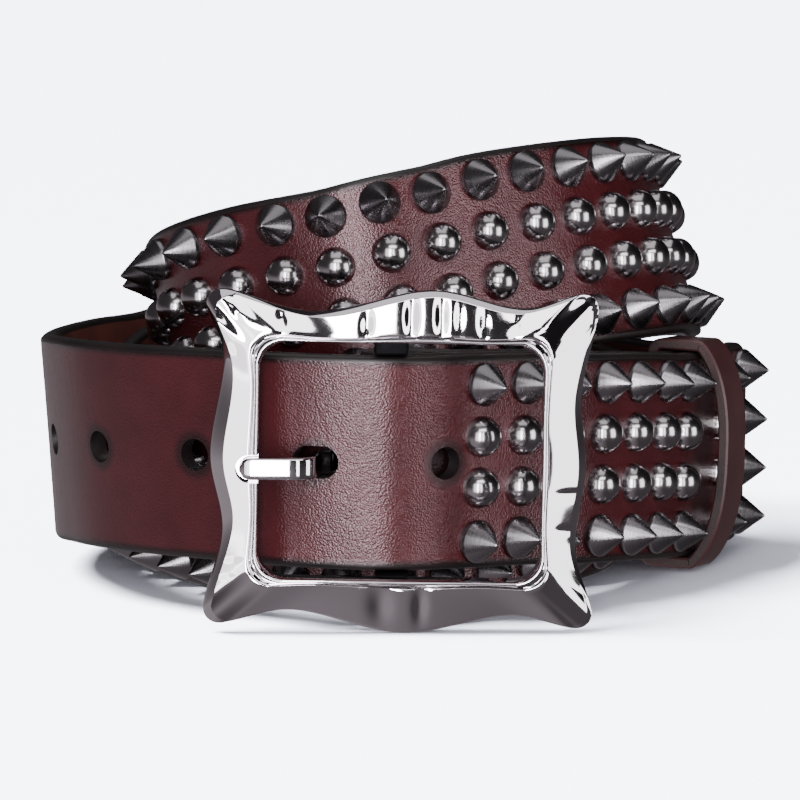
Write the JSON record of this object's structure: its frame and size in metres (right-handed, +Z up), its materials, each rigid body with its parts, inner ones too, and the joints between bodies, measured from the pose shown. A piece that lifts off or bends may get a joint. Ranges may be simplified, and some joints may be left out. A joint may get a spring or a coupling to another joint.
{
  "type": "studded leather belt",
  "caption": "Leather belt with rows of cone and dome studs, fastened through a wavy square buckle and coiled up, standing on its edge.",
  "frame": {"origin": "under the middle of the whole, on the surface that the coil stands on", "axes": "+X to the right and +Z up as seen from the buckle's front, +Y away from the viewer"},
  "size_m": [0.137, 0.1514, 0.0817],
  "materials": {
    "strap_leather": "pebbled, semi-gloss",
    "keeper_leather": "smooth, raw edges",
    "buckle_metal": "polished dark nickel",
    "tongue_metal": "polished dark nickel",
    "rivet_metal": "satin"
  },
  "bodies": {
    "root": {"strap": "strap_leather", "buckle_frame": "buckle_metal", "tongue": "tongue_metal", "keeper": "keeper_leather", "fold_rivet_1": "rivet_metal", "fold_rivet_2": "rivet_metal"}
  },
  "joints": []
}
